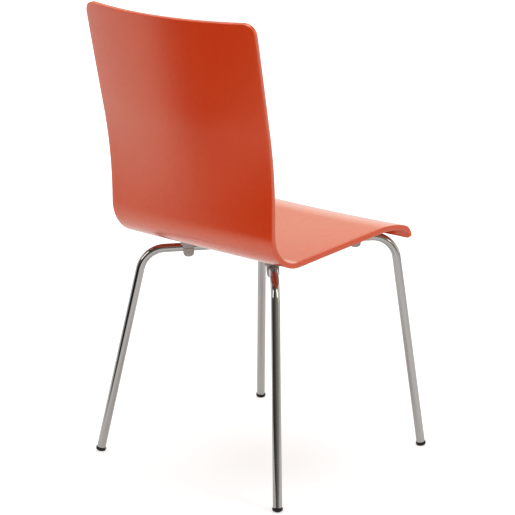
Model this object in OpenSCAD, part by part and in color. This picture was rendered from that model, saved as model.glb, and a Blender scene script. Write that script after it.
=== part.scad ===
// Stacking chair: one moulded plywood shell on a crossed frame of bent chromed tube.
// The sitter faces -Y and the sitter's left is +X. The floor is z = 0, and the origin is
// the centre of the chair's footprint box. All sizes are in millimetres.

/* [Seat shell] */
// Thickness of the moulded plywood
shell_t = 9.5; // [8:0.5:12]
// Width across the front edge of the seat
seat_w = 400; // [340:5:480]
// Width at the waist, just above the lower bend
waist_w = 386; // [330:2:470]
// Width near the top of the back
back_w = 394; // [330:2:480]
// Flat run of the seat from the frame crossing forward to the crown
seat_front_len = 78; // [55:1:100]
// Flat run of the seat from the frame crossing back to the lower bend
seat_rear_len = 134.5; // [110:0.5:175]
// Fall of the seat towards the back, in degrees
seat_slope = 4.9; // [3:0.1:6]
// Radius of the gentle crown where the seat starts to roll over
crown_r = 200; // [150:5:260]
// Angle turned through by the crown, in degrees
crown_turn = 20; // [14:1:26]
// Radius of the rolled front edge, on the sitter's side
nose_r = 28; // [20:1:40]
// Angle turned through by the rolled front edge, in degrees
nose_turn = 74; // [60:1:80]
// Radius of the lower bend, on the sitter's side
bend_r = 57.5; // [45:0.5:72]
// Upright stretch between the lower bend and the lumbar curve
waist_len = 28; // [20:1:40]
// Radius of the lumbar curve
lumbar_r = 765; // [600:5:950]
// Backward lean of the upper back from upright, in degrees
back_lean = 11.2; // [8:0.2:14]
// Straight length of the upper back, up to its top edge
back_len = 196; // [150:1:240]
// Depth of the hollow across the back, from the middle to the sides
back_hollow = 26; // [15:1:34]
// Distance above the seat over which the back's hollow grows to its full depth
hollow_len = 315; // [260:5:380]
// Depth of the dish across the front of the seat
seat_dish = 3; // [0:0.5:6]
// Radius to which the shell's sawn edges are eased
edge_r = 1.25; // [1:0.25:3]
// Radius of the two top corners
top_corner_r = 22; // [15:1:40]
// Radius of the two corners of the front edge
lip_corner_r = 6; // [3:0.5:12]

/* [Leg frame] */
// Outside diameter of the frame tube
tube_d = 16; // [13:0.5:20]
// Wall of the frame tube
tube_wall = 1.5; // [1.2:0.1:2]
// Height of the tube centre line where the two runs cross
frame_h = 398; // [330:0.5:480]
// Place of the crossing, behind the origin when positive
cross_y = -36; // [-50:1:-20]
// Rise of each under-seat run towards the front, in degrees
run_slope = 2.6; // [1:0.1:4]
// Distance from the crossing along a run to the corner that it makes with a rear leg
rear_run = 226; // [205:0.5:290]
// Distance from the crossing along a run to the corner that it makes with a front leg
front_run = 229; // [210:0.5:290]
// Splay of the rear legs from upright, in degrees
rear_splay = 12.7; // [9:0.1:15]
// Splay of the front legs from upright, in degrees
front_splay = 8.2; // [6:0.1:12]
// Centre-line radius of the rear bends
rear_bend_r = 48; // [45:1:66]
// Centre-line radius of the front bends
front_bend_r = 45; // [40:1:60]
// Half thickness of the weld bead round the crossing
weld_r = 1.8; // [1.4:0.1:2.2]

/* [Spacers and stacking buffers] */
// Gap from the top of the tube to the underside of the shell's edge, above the crossing
shell_gap = 20.5; // [17:0.5:25]
// Distance from the crossing to a rear screw, along the run
rear_station = 146; // [120:1:160]
// Distance from the crossing to a front screw, along the run
front_station = 158; // [130:1:170]
// Length of the spacers and buffers along the tube
cheek_len = 20; // [18:0.5:24]
// Thickness of each cheek beside the tube
cheek_t = 3; // [2.5:0.1:4]
// Length of the pad that each spacer offers to the shell
pad_w = 27; // [26:0.5:34]
// Height above the tube's centre line where a spacer begins to flare
flare_low = 4; // [1:0.5:6]
// Radius of the buffers' upright corners
buffer_corner_r = 3; // [1.5:0.25:4]
// Radius of the buffers' lower edges
buffer_round_r = 8; // [4:0.25:8.5]
// Radius of the buffers' lower edges towards the ends of the run
buffer_end_r = 9.5; // [4:0.25:9.5]
// Plastic left between the tube and the screw's seat in the buffer
buffer_floor = 4.6; // [3.5:0.1:5.5]
// Depth of the buffer below the tube
buffer_drop = 10; // [7.6:0.1:12]
// Radial clearance of the tube in its saddles
saddle_clear = 0.15; // [0.1:0.05:0.3]

/* [Fasteners] */
// Diameter of the button-head screws
screw_d = 5; // [4:0.5:6]
// Diameter of the screw's head
screw_head_d = 9.5; // [8:0.1:11]
// Height of the screw's head
screw_head_h = 2.7; // [2.2:0.1:3]
// Diameter of the flat face of the screw's head
screw_face_d = 5.7; // [4.5:0.1:7]
// Height of the rim of the screw's head
screw_rim_h = 1.1; // [0.6:0.1:1.4]
// Size across the corners of the socket in the screw's head
socket_d = 3.5; // [2.5:0.1:4]
// Depth of the socket in the screw's head
socket_h = 1.9; // [1.2:0.1:2.1]
// Outside diameter of the threaded inserts
insert_d = 8; // [7:0.1:10]
// Wood left between an insert's hole and the sitting surface
insert_cover = 2.2; // [1.8:0.1:2.6]

/* [Glides] */
// Diameter of the glide's rim
glide_d = 18.8; // [18:0.2:24]
// Height of the glide from the floor to the end of the tube
glide_h = 7.2; // [6.5:0.1:11]
// Height of the glide's upright rim
rim_h = 3; // [2:0.1:4]
// Diameter of the glide at the floor
sole_d = 11; // [9:0.2:17]
// Length of the ribbed plug inside the tube
plug_len = 20; // [14:1:26]
// Width of each rib round the plug
rib_h = 1.6; // [1:0.1:2]

/* [Hidden] */
$fn = 64;

lacquer = [0.80, 0.22, 0.08];
chrome = [0.78, 0.78, 0.80];
grey_plastic = [0.52, 0.50, 0.49];
black_plastic = [0.07, 0.07, 0.07];
zinc = [0.70, 0.70, 0.66];
brass = [0.78, 0.62, 0.30];

tube_r = tube_d / 2;
bore_r = tube_r - tube_wall;
deck_tilt = atan(tan(run_slope) * sqrt(2));    // slope of the plane that holds both runs
far = 600;                                      // past the chair on every side
run_on = 1;                                     // how far a cut runs past what it cuts

// ---- Seat shell: a profile of straight and curved runs, hollowed across its width ----

function arc_len(radius, angle) = radius * angle * PI / 180;

// A pose is [y, z, heading]. This moves one along a run of the given length and turn.
function travel(pose, length, turn) =
    turn == 0
    ? [pose[0] + length * cos(pose[2]), pose[1] + length * sin(pose[2]), pose[2]]
    : let (r = length / (turn * PI / 180))
      [pose[0] + r * (sin(pose[2] + turn) - sin(pose[2])),
       pose[1] - r * (cos(pose[2] + turn) - cos(pose[2])),
       pose[2] + turn];

// Pose after a distance along a path, which is a list of [length, turn] runs.
function pose_along(pose, path, distance, i = 0) =
    distance <= path[i][0] || i == len(path) - 1
    ? travel(pose, distance, path[i][1] * distance / path[i][0])
    : pose_along(travel(pose, path[i][0], path[i][1]), path, distance - path[i][0], i + 1);

// Evenly spaced distances along a path, with its own number of parts for each run.
function marks(path, parts, start = 0, i = 0) =
    i == len(path)
    ? []
    : concat([for (k = [1:parts[i]]) start + path[i][0] * k / parts[i]],
             marks(path, parts, start + path[i][0], i + 1));

function path_len(path) = [for (run = path) run[0]] * [for (run = path) 1];
function ease(x) = let (c = min(max(x, 0), 1)) c * c * (3 - 2 * c);

front_path = [
    [seat_front_len, 0],
    [arc_len(crown_r, crown_turn), crown_turn],
    [arc_len(nose_r, nose_turn), nose_turn]
];
rear_path = [
    [seat_rear_len, 0],
    [arc_len(bend_r, 90 + seat_slope), 90 + seat_slope],
    [waist_len, 0],
    [arc_len(lumbar_r, back_lean), -back_lean],
    [back_len, 0]
];
lip_s = -path_len(front_path);                  // distances run from the crossing, back positive
top_s = path_len(rear_path);
waist_s = top_s - back_len - rear_path[3][0] - waist_len / 2;

seat_ref_z = frame_h + tube_r + shell_gap + shell_t;

// Pose of the sitting surface's side edge at a distance from the crossing.
function edge_pose(s) =
    s >= 0
    ? pose_along([cross_y, seat_ref_z, -seat_slope], rear_path, s)
    : let (p = pose_along([cross_y, seat_ref_z, 180 - seat_slope], front_path, -s))
      [p[0], p[1], p[2] - 180];

function base_half_w(s) =
    s < waist_s
    ? (waist_w + (seat_w - waist_w) * ease((waist_s - s) / (waist_s - lip_s))) / 2
    : (waist_w + (back_w - waist_w) * ease((s - waist_s) / (top_s - waist_s))) / 2;

function corner_cut(to_edge, r) = to_edge >= r ? 0 : r - sqrt(max(r * r - pow(r - to_edge, 2), 0));

function half_w(s) =
    base_half_w(s) - corner_cut(s - lip_s, lip_corner_r) - corner_cut(top_s - s, top_corner_r);

function hollow(s) =
    s > seat_rear_len
    ? back_hollow * ease((s - seat_rear_len) / hollow_len)
    : seat_dish * ease((seat_rear_len - s) / (seat_rear_len - lip_s));

// A point of the shell: s along the profile, x across it, depth below the sitting surface.
function shell_point(s, x, depth) =
    let (p = edge_pose(s),
         w = base_half_w(s),
         drop = hollow(s) * (1 - pow(x / w, 2)),
         side = 2 * hollow(s) * x / (w * w),
         d = depth / sqrt(1 + side * side),
         out = [sin(p[2]), -cos(p[2])])
    [x + d * side, p[0] + out[0] * (drop + d), p[1] + out[1] * (drop + d)];

// How far the eased edge falls below the face, at a distance in from the sawn edge.
function edge_fall(inset) = corner_cut(inset, edge_r);
function inset_at(s, x) = min(half_w(s) - abs(x), s - lip_s, top_s - s);

columns = 16;
edge_steps = [0, edge_r * (1 - cos(45)), edge_r];
function across(w) = concat(
    [for (e = [0:1]) edge_steps[e] - w],
    [for (j = [0:columns]) (w - edge_r) * (2 * j / columns - 1)],
    [for (e = [1:-1:0]) w - edge_steps[e]]);

corner_steps = 5;
row_gap = 0.6;                                  // least distance between two rows of points
function corner_marks(r) = [
    for (k = [1:corner_steps])
        let (mark = r * (1 - cos(90 * k / corner_steps)))
        if (mark > edge_r + row_gap) mark
];
function reversed(list) = [for (k = [len(list) - 1:-1:0]) list[k]];

front_rows = [3, 5, 8];                         // rows of points along each run of the profile
rear_rows = [5, 18, 2, 7, 6];
front_marks = marks(
    [front_path[0], front_path[1], [front_path[2][0] - lip_corner_r, 0]], front_rows);
rear_marks = marks(
    concat([for (k = [0:3]) rear_path[k]], [[back_len - top_corner_r, 0]]), rear_rows);
lip_marks = concat(edge_steps, corner_marks(lip_corner_r));
top_marks = concat(edge_steps, corner_marks(top_corner_r));
stations = concat(
    [for (mark = lip_marks) if (mark < lip_corner_r) lip_s + mark],
    [for (mark = reversed(front_marks)) -mark],
    [0],
    rear_marks,
    [for (mark = reversed(top_marks)) if (mark < top_corner_r) top_s - mark]);

// The shell between two of its stations, as one closed body between two depths.
module shell_body(first, last, top_depth, under_depth) {
    row = columns + 5;
    rows = last - first + 1;
    points = [
        for (side = [0, 1], i = [first:last])
            let (s = stations[i])
            for (x = across(half_w(s)))
                let (fall = edge_fall(inset_at(s, x)))
                shell_point(s, x, side == 0 ? top_depth + fall : under_depth - fall)
    ];
    under = row * rows;
    faces = concat(
        [for (i = [0:rows - 2], j = [0:row - 2])
            [i * row + j, (i + 1) * row + j, (i + 1) * row + j + 1, i * row + j + 1]],
        [for (i = [0:rows - 2], j = [0:row - 2])
            [under + i * row + j, under + i * row + j + 1,
             under + (i + 1) * row + j + 1, under + (i + 1) * row + j]],
        [for (i = [0:rows - 2])
            [i * row, under + i * row, under + (i + 1) * row, (i + 1) * row]],
        [for (i = [0:rows - 2])
            [i * row + row - 1, (i + 1) * row + row - 1,
             under + (i + 1) * row + row - 1, under + i * row + row - 1]],
        [for (j = [0:row - 2]) [j, j + 1, under + j + 1, under + j]],
        [for (j = [0:row - 2])
            [(rows - 1) * row + j, under + (rows - 1) * row + j,
             under + (rows - 1) * row + j + 1, (rows - 1) * row + j + 1]]);
    polyhedron(points, faces, convexity = 6);
}

// ---- Stations: where the four screws tie tube, spacer, buffer and shell together ----

// Each corner is [side, end]: side +1 is the sitter's left, end +1 is the rear.
rear_left = [1, 1];
rear_right = [-1, 1];
front_left = [1, -1];
front_right = [-1, -1];
corners = [rear_left, rear_right, front_left, front_right];

function station_dist(corner) = corner[1] > 0 ? rear_station : front_station;
function station_point(corner) =
    let (d = station_dist(corner), plan = d * cos(run_slope) / sqrt(2))
    [corner[0] * plan, cross_y + corner[1] * plan, frame_h - corner[1] * d * sin(run_slope)];

// Sideways miss between the screw's axis and the shell's underside at distance s.
function axis_miss(corner, s) =
    let (p = station_point(corner), u = shell_point(s, p[0], shell_t))
    (u[1] - p[1]) * cos(deck_tilt) - (u[2] - p[2]) * sin(deck_tilt);
function meet(corner, low, high, n = 24) =
    let (mid = (low + high) / 2)
    n == 0 ? mid
    : axis_miss(corner, mid) > 0 ? meet(corner, low, mid, n - 1) : meet(corner, mid, high, n - 1);

// Distance along the profile where a screw's axis meets the shell's underside.
function pad_s(corner) = meet(corner, lip_s + arc_len(nose_r, nose_turn), seat_rear_len + bend_r / 2);

// Height of the shell's underside above the tube's centre line, along the screw.
function pad_h(corner) =
    let (p = station_point(corner), u = shell_point(pad_s(corner), p[0], shell_t))
    (u[1] - p[1]) * sin(deck_tilt) + (u[2] - p[2]) * cos(deck_tilt);

// Frame at a station: X along the tube, Z along the screw, origin on the tube's centre line.
arm_angle = atan2(
    cos(run_slope) / sqrt(2) * cos(deck_tilt) + sin(run_slope) * sin(deck_tilt),
    cos(run_slope) / sqrt(2));
module at_station(corner) {
    translate(station_point(corner))
        rotate([-deck_tilt, 0, 0])
        rotate([0, 0, corner[0] * corner[1] * arm_angle])
        children();
}

fit_gap = 0.1;                                  // between parts that are fixed together
insert_recess = 0.8;                            // keeps an insert's rim under the wood's face
insert_hole = shell_t - insert_cover;           // depth of an insert's hole

module shell_pocket(corner) {
    at_station(corner)
        translate([0, 0, pad_h(corner) - insert_d])
        cylinder(d = insert_d + 2 * fit_gap, h = insert_d + insert_hole);
}

module seat_shell() {
    color(lacquer)
        difference() {
            shell_body(0, len(stations) - 1, 0, shell_t);
            for (corner = corners) shell_pocket(corner);
        }
}

// ---- Leg frame: two bent runs of tube that cross under the seat and are welded there ----

function run(corner) = corner[1] > 0 ? rear_run : front_run;
function splay(corner) = corner[1] > 0 ? rear_splay : front_splay;
function leg_bend_r(corner) = corner[1] > 0 ? rear_bend_r : front_bend_r;
function rise(corner) = -corner[1] * run_slope;
function bend_turn(corner) = 90 - splay(corner) + rise(corner);
function tangent_len(corner) = leg_bend_r(corner) * tan(bend_turn(corner) / 2);

// Height of the point where a run's line meets its leg's line, and the foot's distance in plan.
function knee_z(corner) = frame_h + sin(rise(corner)) * run(corner);
function reach(corner) = cos(rise(corner)) * run(corner) + tan(splay(corner)) * knee_z(corner);
bend_draw = 0.03;                               // how much the tube draws in round a bend
lap = 0.05;                                     // straight tube carried on into each bend
function run_len(corner) = run(corner) - tangent_len(corner);
function leg_len(corner) = knee_z(corner) / cos(splay(corner)) - tangent_len(corner);

// Frame of a run: X along its centre line out to the given corner, origin at the crossing.
module on_run(corner) {
    translate([0, cross_y, 0])
        rotate([0, 0, corner[0] * corner[1] > 0 ? 45 : 135])
        translate([0, 0, frame_h])
        rotate([0, run_slope, 0])
        rotate([0, 0, corner[1] > 0 ? 0 : 180])
        children();
}

// The straight run under the seat, between two distances from the crossing.
module run_bar(corner, r, low, high) {
    on_run(corner)
        translate([low, 0, 0])
        rotate([0, 90, 0])
        rotate([0, 0, 180])
        cylinder(r = r, h = high - low);
}

// The bend at the end of a run and the leg below it, which stops short of the floor.
module leg_bar(corner, r, short) {
    on_run(corner)
        translate([run_len(corner), 0, -leg_bend_r(corner)])
        rotate([-90, -90, 0]) {
            rotate_extrude(angle = bend_turn(corner))
                translate([leg_bend_r(corner), 0])
                circle(r = r - bend_draw);
            rotate([0, 0, bend_turn(corner)])
                translate([leg_bend_r(corner), -lap, 0])
                rotate([-90, 0, 0])
                cylinder(r = r, h = leg_len(corner) + lap - short);
        }
}

module screw_hole(corner) {
    at_station(corner)
        translate([0, 0, -tube_d])
        cylinder(d = screw_d + 1, h = 2 * tube_d);
}

module long_leg_tube() {
    color(chrome)
        difference() {
            union() {
                run_bar(rear_left, tube_r, -run_len(front_right) - lap, run_len(rear_left) + lap);
                leg_bar(rear_left, tube_r, glide_h);
                leg_bar(front_right, tube_r, glide_h);
            }
            run_bar(rear_left, bore_r, -run_len(front_right) - lap, run_len(rear_left) + lap);
            leg_bar(rear_left, bore_r, glide_h - run_on);
            leg_bar(front_right, bore_r, glide_h - run_on);
            screw_hole(rear_left);
            screw_hole(front_right);
        }
}

tip_trim = 1.5;                                 // blunts the coped tips over the long tube
weld_gap = 0.05;                                // between pieces that the weld joins

// Half of the second tube: an arm coped to fit the long tube's side, its bend and its leg.
module coped_leg_tube(corner) {
    color(chrome)
        difference() {
            union() {
                run_bar(corner, tube_r, tip_trim, run_len(corner) + lap);
                leg_bar(corner, tube_r, glide_h);
            }
            run_bar(corner, bore_r, 0, run_len(corner) + lap);
            leg_bar(corner, bore_r, glide_h - run_on);
            run_bar(rear_left, tube_r + weld_gap, -4 * tube_d, 4 * tube_d);
            screw_hole(corner);
        }
}

// A bead that follows one of the two mitre ellipses, in the XZ plane.
module mitre_bead(reach, height) {
    steps = 40;
    sides = 8;
    points = [
        for (i = [0:steps - 1], j = [0:sides - 1])
            let (a = 360 * i / steps,
                 b = 360 * j / sides,
                 slant = atan2(reach * sin(a), height * cos(a)),
                 out = weld_r * cos(b))
            [reach * cos(a) + out * cos(slant), weld_r * sin(b), height * sin(a) + out * sin(slant)]
    ];
    faces = [
        for (i = [0:steps - 1], j = [0:sides - 1])
            let (next = (i + 1) % steps, up = (j + 1) % sides)
            [i * sides + j, next * sides + j, next * sides + up, i * sides + up]
    ];
    polyhedron(points, faces, convexity = 4);
}

module crossing_weld() {
    color(chrome)
        difference() {
            translate([0, cross_y, frame_h])
                rotate([-deck_tilt, 0, 0]) {
                    mitre_bead(tube_r / sin(arm_angle), tube_r);
                    rotate([0, 0, 90]) mitre_bead(tube_r / cos(arm_angle), tube_r);
                }
            run_bar(rear_left, tube_r + weld_gap, -4 * tube_d, 4 * tube_d);
            run_bar(rear_right, tube_r + weld_gap, -4 * tube_d, 4 * tube_d);
        }
}

// ---- Spacers and buffers: grey mouldings clamped above and below the tube ----

saddle_r = tube_r + saddle_clear;
split_gap = 0.15;                               // half the joint line between spacer and buffer
core_wall = 2.4;                                // wall left round the hollows of a spacer
hole_play = 0.5;                                // by which a moulded hole is wider than its screw
block_w = tube_d + 2 * cheek_t;                 // across the tube
flare_r = (pad_w - cheek_len) / 2;
pad_len = block_w + 2 * flare_r;                // the pad's size across the tube

module tube_channel() {
    translate([-pad_len, 0, 0]) rotate([0, 90, 0]) cylinder(r = saddle_r, h = 2 * pad_len);
}

// Stands a drawn outline up: drawn X runs along the tube, or across it when turned by 90.
module upright(turn) {
    rotate([0, 0, turn])
        rotate([90, 0, 0])
        linear_extrude(height = 3 * pad_len, center = true)
        children();
}

module rounded_outline(w, d, r) {
    square([w - 2 * r, d], center = true);
    square([w, d - 2 * r], center = true);
    for (x = [-1, 1], y = [-1, 1])
        translate([x * (w / 2 - r), y * (d / 2 - r)]) circle(r = r);
}

function nearest_row(s, i = 0) =
    i >= len(stations) - 1 || stations[i] > s ? i : nearest_row(s, i + 1);

// The space over a spacer's pad, from the clearance under the shell to well above it.
module shell_over(corner) {
    s = pad_s(corner);
    first = max(nearest_row(s - pad_len) - 1, 0);
    last = min(nearest_row(s + pad_len) + 1, len(stations) - 1);
    shell_body(first, last, -pad_w, shell_t + 2 * fit_gap);
}

// A neck of the given width that flares in a quarter round to the pad.
module flared_outline(neck, top) {
    pad = neck + 2 * flare_r;
    difference() {
        translate([-pad / 2, split_gap]) square([pad, top - split_gap]);
        for (side = [-1, 1]) {
            translate([side * pad / 2, flare_low]) circle(r = flare_r);
            translate([side * pad / 2 - flare_r, flare_low - pad]) square([2 * flare_r, pad]);
        }
    }
}

// Upright sides at the tube, flared all round to a pad that meets the shell.
module spacer(corner) {
    top = pad_h(corner) + shell_t;
    core_floor = saddle_r + core_wall;
    color(grey_plastic)
        difference() {
            at_station(corner)
                difference() {
                    intersection() {
                        upright(0) flared_outline(cheek_len, top);
                        upright(90) flared_outline(block_w, top);
                        linear_extrude(height = top) rounded_outline(pad_w, pad_len, flare_r);
                    }
                    tube_channel();
                    cylinder(d = screw_d + hole_play, h = top + run_on);
                    translate([0, 0, core_floor])
                        difference() {
                            cylinder(d1 = cheek_len - 2 * core_wall, d2 = pad_w - core_wall, h = top);
                            cylinder(d = screw_d + 2 * core_wall, h = 2 * top);
                            for (turn = [0, 90])
                                rotate([0, 0, turn])
                                    translate([-pad_w, -core_wall / 2, 0])
                                    cube([2 * pad_w, core_wall, 2 * top]);
                        }
                }
            shell_over(corner);
        }
}

head_seat = tube_r + buffer_floor;

// A cap with well rounded lower edges, which rests on the chair below in a stack.
module stacking_buffer(corner) {
    depth = tube_r + buffer_drop;
    color(grey_plastic)
        at_station(corner)
        difference() {
            intersection() {
                upright(0) rounded_outline(cheek_len, 2 * depth, buffer_end_r);
                upright(90) rounded_outline(block_w, 2 * depth, buffer_round_r);
                translate([0, 0, -depth])
                    linear_extrude(height = depth - split_gap)
                    rounded_outline(cheek_len, block_w, buffer_corner_r);
            }
            tube_channel();
            translate([0, 0, -pad_len]) cylinder(d = screw_d + hole_play, h = pad_len);
            translate([0, 0, -pad_len])
                cylinder(d = screw_head_d + hole_play, h = pad_len - head_seat);
        }
}

// ---- Fasteners ----

module shell_screws() {
    shank = screw_d - 2 * fit_gap;
    color(zinc)
        for (corner = corners)
            at_station(corner)
            translate([0, 0, -head_seat])
            difference() {
                union() {
                    cylinder(d = shank, h = head_seat + pad_h(corner) + insert_hole - 1);
                    translate([0, 0, -screw_rim_h])
                        cylinder(d = screw_head_d, h = screw_rim_h);
                    translate([0, 0, -screw_head_h])
                        cylinder(d1 = screw_face_d, d2 = screw_head_d,
                                 h = screw_head_h - screw_rim_h);
                }
                translate([0, 0, -screw_head_h - run_on])
                    cylinder(d = socket_d, h = socket_h + run_on, $fn = 6);
            }
}

module threaded_inserts() {
    color(brass)
        for (corner = corners)
            at_station(corner)
            translate([0, 0, pad_h(corner) + insert_recess])
            difference() {
                cylinder(d = insert_d, h = insert_hole - insert_recess - fit_gap);
                translate([0, 0, -run_on]) cylinder(d = screw_d, h = insert_hole + 2 * run_on);
            }
}

// ---- Glides: black plugs pushed into the leg ends, cut level with the floor ----

// Frame of a foot: Z up the leg's axis, origin where that axis meets the floor.
module on_foot(corner) {
    translate([0, cross_y, 0])
        rotate([0, 0, atan2(corner[1], corner[0])])
        translate([reach(corner), 0, 0])
        rotate([0, -splay(corner), 0])
        children();
}

rim_bevel = 0.7;                                // eases the glide's rim
rib_depth = 0.8;                                // by which the ribs stand out from the plug
plug_taper = 1.2;                               // eases the plug's end
ribs = 4;

module glide(corner) {
    plug_r = bore_r - fit_gap;
    core_r = plug_r - rib_depth;
    rim_low = glide_h - rim_h;
    color(black_plastic)
        difference() {
            on_foot(corner) {
                rotate_extrude()
                    polygon([
                        [0, -sole_d / 2], [sole_d / 2, -sole_d / 2], [sole_d / 2, 0],
                        [glide_d / 2 - rim_bevel, rim_low - rim_bevel], [glide_d / 2, rim_low],
                        [glide_d / 2, glide_h - rim_bevel], [glide_d / 2 - rim_bevel, glide_h],
                        [core_r, glide_h], [core_r, glide_h + plug_len - plug_taper],
                        [core_r - plug_taper, glide_h + plug_len], [0, glide_h + plug_len]
                    ]);
                for (rib = [1:ribs])
                    translate([0, 0, glide_h + rib * plug_len / (ribs + 1)])
                        cylinder(r = plug_r, h = rib_h);
            }
            translate([-far, -far, -far]) cube([2 * far, 2 * far, far]);
        }
}

seat_shell();
long_leg_tube();
coped_leg_tube(rear_right);  // rear_right_leg_tube
coped_leg_tube(front_left);  // front_left_leg_tube
crossing_weld();
spacer(rear_left);  // spacer_rear_left
spacer(rear_right);  // spacer_rear_right
spacer(front_left);  // spacer_front_left
spacer(front_right);  // spacer_front_right
stacking_buffer(rear_left);  // stacking_buffer_rear_left
stacking_buffer(rear_right);  // stacking_buffer_rear_right
stacking_buffer(front_left);  // stacking_buffer_front_left
stacking_buffer(front_right);  // stacking_buffer_front_right
shell_screws();
threaded_inserts();
glide(rear_left);  // glide_rear_left
glide(rear_right);  // glide_rear_right
glide(front_left);  // glide_front_left
glide(front_right);  // glide_front_right
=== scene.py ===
import math

import bmesh
import bpy
from mathutils import Matrix, Vector
from mathutils.bvhtree import BVHTree


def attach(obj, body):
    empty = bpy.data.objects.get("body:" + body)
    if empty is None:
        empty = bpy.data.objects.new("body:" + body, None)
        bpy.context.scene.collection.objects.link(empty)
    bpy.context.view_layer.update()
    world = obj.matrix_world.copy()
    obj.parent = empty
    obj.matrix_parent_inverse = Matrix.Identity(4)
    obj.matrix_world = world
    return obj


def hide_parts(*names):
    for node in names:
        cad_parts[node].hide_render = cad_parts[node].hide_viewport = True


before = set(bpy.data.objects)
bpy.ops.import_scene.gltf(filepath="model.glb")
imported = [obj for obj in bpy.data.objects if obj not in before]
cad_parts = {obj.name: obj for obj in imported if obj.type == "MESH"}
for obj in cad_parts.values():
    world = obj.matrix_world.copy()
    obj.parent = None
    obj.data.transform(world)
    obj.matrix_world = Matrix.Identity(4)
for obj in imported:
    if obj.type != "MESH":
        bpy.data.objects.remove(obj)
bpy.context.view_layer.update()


# ---- Seat shell ----
# One sheet of beech plywood, pressed over a mould to a rolled front edge, a dished seat, a lower
# bend and a hollowed back. The sawn edges are eased by hand, and it is lacquered all over.

SHELL_THICK = 0.0095
SEAT_SLOPE = 4.9
SEAT_TOP_AT_CROSSING = 0.436
CROSSING_Y = -0.036
SEAT_FRONT_W, WAIST_W, BACK_W = 0.400, 0.386, 0.394
HOLLOW_DEPTH, HOLLOW_GROWTH, DISH_DEPTH = 0.026, 0.315, 0.003
EASED_R, TOP_CORNER_R, LIP_CORNER_R = 0.00125, 0.022, 0.006


def straight(length):
    """A flat run of the profile: its length, and no turn."""
    return (length, 0)


def arc(radius, degrees):
    """A bent run of the profile: its length and the angle that it turns through."""
    return (radius * math.radians(abs(degrees)), degrees)


FLAT_FRONT, FRONT_ROLL, LIP_ROLL = straight(0.078), arc(0.200, 20), arc(0.028, 74)
FLAT_REAR, LOWER_BEND, WAIST = straight(0.1345), arc(0.0575, 90 + SEAT_SLOPE), straight(0.028)
BACK_CURVE, BACK_TOP = arc(0.765, -11.2), straight(0.196)
FRONT_RUNS = [FLAT_FRONT, FRONT_ROLL, LIP_ROLL]
REAR_RUNS = [FLAT_REAR, LOWER_BEND, WAIST, BACK_CURVE, BACK_TOP]
LIP_S = -sum(length for length, turn in FRONT_RUNS)
TOP_S = sum(length for length, turn in REAR_RUNS)
BEND_S = FLAT_REAR[0]
WAIST_S = FLAT_REAR[0] + LOWER_BEND[0] + WAIST[0] / 2


def travel(pose, length, turn):
    """The pose at the end of a run that starts at the given one."""
    y, z, heading = pose
    if turn == 0:
        return (y + length * math.cos(heading), z + length * math.sin(heading), heading)
    angle = math.radians(turn)
    radius = length / angle
    return (y + radius * (math.sin(heading + angle) - math.sin(heading)),
            z - radius * (math.cos(heading + angle) - math.cos(heading)),
            heading + angle)


def pose_along(pose, runs, distance):
    """The pose some way along the runs, which start at the given one."""
    for length, turn in runs[:-1]:
        if distance <= length:
            return travel(pose, distance, turn * distance / length)
        pose = travel(pose, length, turn)
        distance -= length
    length, turn = runs[-1]
    return travel(pose, distance, turn * distance / length)


def profile_pose(s):
    """Where the sitting surface's side edge is, s behind the crossing along the shell."""
    slope = math.radians(SEAT_SLOPE)
    if s >= 0:
        return pose_along((CROSSING_Y, SEAT_TOP_AT_CROSSING, -slope), REAR_RUNS, s)
    y, z, heading = pose_along((CROSSING_Y, SEAT_TOP_AT_CROSSING, math.pi - slope), FRONT_RUNS, -s)
    return (y, z, heading - math.pi)


def ease(x):
    x = min(max(x, 0), 1)
    return x * x * (3 - 2 * x)


def side_half_w(s):
    """Half the width of the sheet at s, before its corners are rounded."""
    if s < WAIST_S:
        grow = ease((WAIST_S - s) / (WAIST_S - LIP_S))
        return (WAIST_W + (SEAT_FRONT_W - WAIST_W) * grow) / 2
    return (WAIST_W + (BACK_W - WAIST_W) * ease((s - WAIST_S) / (TOP_S - WAIST_S))) / 2


def corner_cut(to_edge, radius):
    """How far a rounded corner draws the side edge in, this far from the sheet's end."""
    return 0 if to_edge >= radius else radius - math.sqrt(max(radius**2 - (radius - to_edge)**2, 0))


def hollow(s):
    """How far the middle of the sheet lies below its side edges."""
    if s > BEND_S:
        return HOLLOW_DEPTH * ease((s - BEND_S) / HOLLOW_GROWTH)
    return DISH_DEPTH * ease((BEND_S - s) / (BEND_S - LIP_S))


def shell_point(s, x, depth):
    """A point of the plywood: s along it, x across it, depth under the sitting surface."""
    y, z, heading = profile_pose(s)
    half = side_half_w(s)
    drop = hollow(s) * (1 - (x / half)**2)
    side = 2 * hollow(s) * x / half**2
    d = depth / math.sqrt(1 + side**2)
    return Vector((x + d * side,
                   y + math.sin(heading) * (drop + d),
                   z - math.cos(heading) * (drop + d)))


def flat_half_w(s):
    """Half the width of the flat of the sheet, inside its eased edge."""
    return (side_half_w(s) - EASED_R
            - corner_cut(s - LIP_S - EASED_R, LIP_CORNER_R - EASED_R)
            - corner_cut(TOP_S - EASED_R - s, TOP_CORNER_R - EASED_R))


LIP_CORNER_ROWS, TOP_CORNER_ROWS = 7, 16
RUN_ROWS = (16, 14, 10, 18, 40, 6, 26, 30)
SHELL_COLUMNS, EASED_STEPS = 56, 5
SAWN_FROM = 0.9


def corner_marks(radius, count):
    """How far in from the sheet's end each row of a rounded corner lies."""
    return [(radius - EASED_R) * (1 - math.cos(math.radians(90 * k / count)))
            for k in range(count)]


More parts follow.
